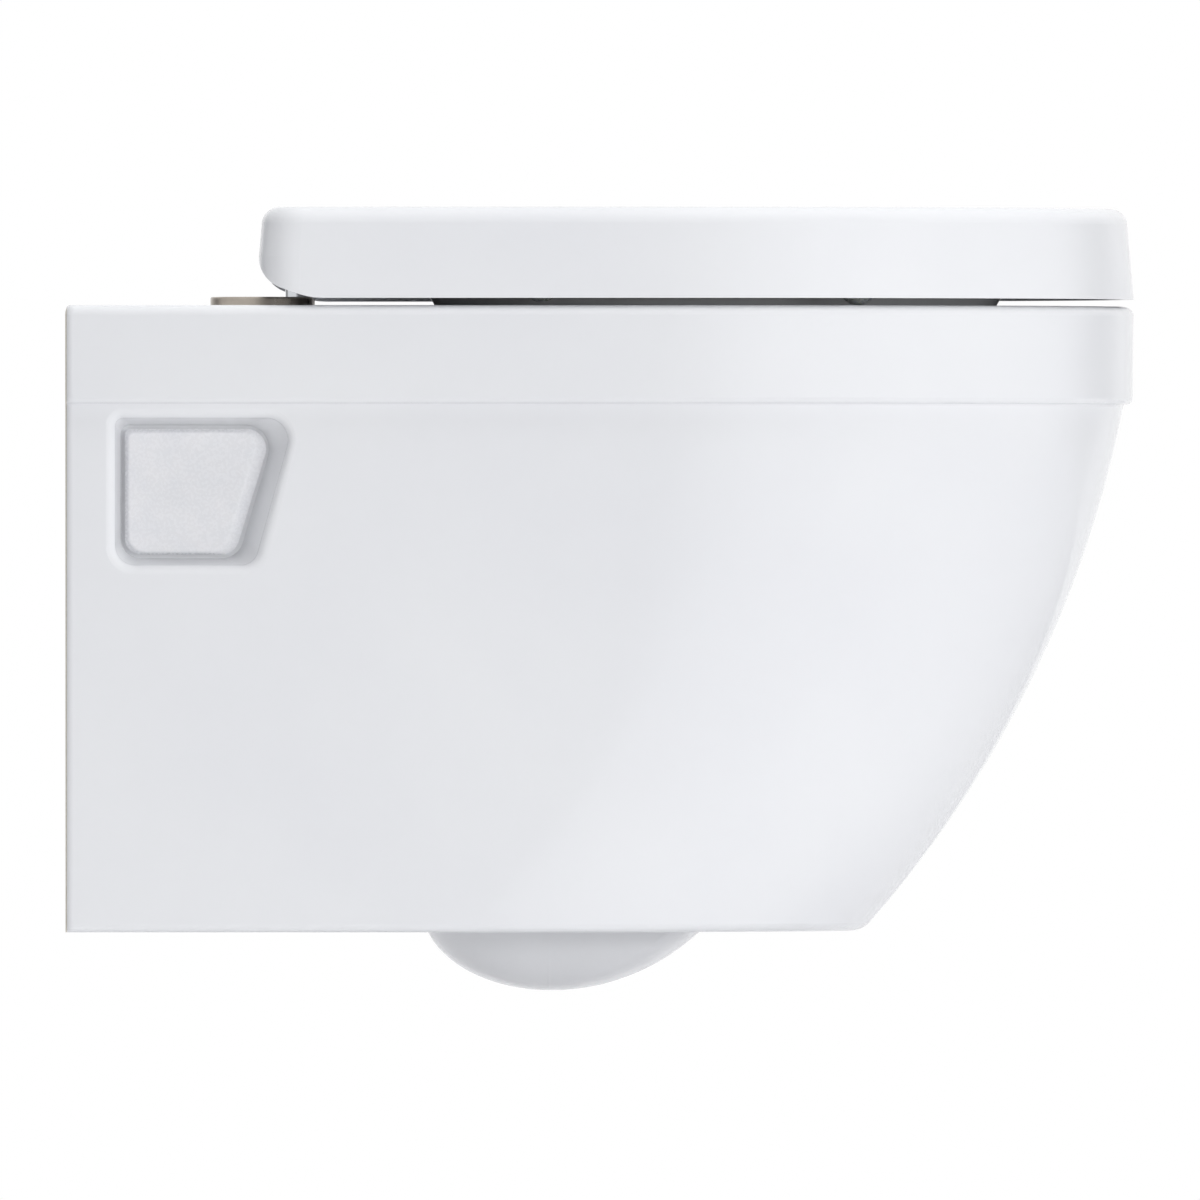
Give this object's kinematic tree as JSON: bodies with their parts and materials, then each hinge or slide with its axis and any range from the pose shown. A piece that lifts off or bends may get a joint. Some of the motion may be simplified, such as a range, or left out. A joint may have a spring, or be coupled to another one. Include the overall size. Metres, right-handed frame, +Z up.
{
  "type": "wall hung toilet",
  "caption": "Wall hung toilet with a flat-rimmed ceramic pan, water trap, flush inlet and waste outlet, and a D-shaped seat and lid on metal soft-close hinges.",
  "frame": {"origin": "midway between the two wall studs' holes, on the plane of the wall", "axes": "+Y into the wall, so the nose points to -Y; +X to the right as seen from in front; +Z up"},
  "size_m": [0.374, 0.54, 0.3959],
  "materials": {
    "china": "white vitreous china, glazed, gloss",
    "seat_plastic": "white thermoset, moulded, gloss",
    "cover_plastic": "white ABS, moulded, gloss",
    "nylon": "natural nylon, moulded",
    "soft_pvc": "soft clear PVC",
    "brushed_nickel": "brushed nickel plate",
    "chromed_zinc": "chrome plated zinc casting",
    "damper_plastic": "grey acetal, moulded",
    "stainless_steel": "stainless steel, turned",
    "plug_rubber": "black rubber, moulded",
    "brass": "brass, turned",
    "buffer_rubber": "white rubber, moulded",
    "clear_buffer": "translucent white rubber, moulded"
  },
  "bodies": {
    "root": {"pan": "china", "fixing_cover_left": "cover_plastic", "stud_sleeve_left": "nylon", "hinge_gasket_left": "soft_pvc", "hinge_disc_left": "brushed_nickel", "hinge_post_left": "chromed_zinc", "hinge_damper_left": "damper_plastic", "fixing_bolt_left": "stainless_steel", "expanding_plug_left": "plug_rubber", "cone_nut_left": "brass", "fixing_cover_right": "cover_plastic", "stud_sleeve_right": "nylon", "hinge_gasket_right": "soft_pvc", "hinge_disc_right": "brushed_nickel", "hinge_post_right": "chromed_zinc", "hinge_damper_right": "damper_plastic", "fixing_bolt_right": "stainless_steel", "expanding_plug_right": "plug_rubber", "cone_nut_right": "brass"},
    "lid": {"lid": "seat_plastic", "lid_buffer_front_left": "buffer_rubber", "lid_buffer_rear_left": "buffer_rubber", "lid_bush_left": "nylon", "lid_buffer_front_right": "buffer_rubber", "lid_buffer_rear_right": "buffer_rubber", "lid_bush_right": "nylon", "hinge_pin_left": "stainless_steel"},
    "seat": {"seat_ring": "seat_plastic", "seat_buffer_front_left": "clear_buffer", "seat_buffer_rear_left": "clear_buffer", "seat_bush_left": "nylon", "seat_buffer_front_right": "clear_buffer", "seat_buffer_rear_right": "clear_buffer", "seat_bush_right": "nylon", "hinge_pin_right": "stainless_steel"}
  },
  "joints": [
    {"name": "lid_hinge", "type": "hinge", "parent": "root", "child": "lid", "pos_m": [0, -0.1165, 0.108], "axis": [-1, 0, 0], "range_deg": [0, 100]},
    {"name": "seat_hinge", "type": "hinge", "parent": "root", "child": "seat", "pos_m": [0, -0.1165, 0.108], "axis": [-1, 0, 0], "range_deg": [0, 95]}
  ],
  "couplings": [
    {"joint": "seat_hinge", "follows": "lid_hinge", "ratio": 0.95}
  ]
}
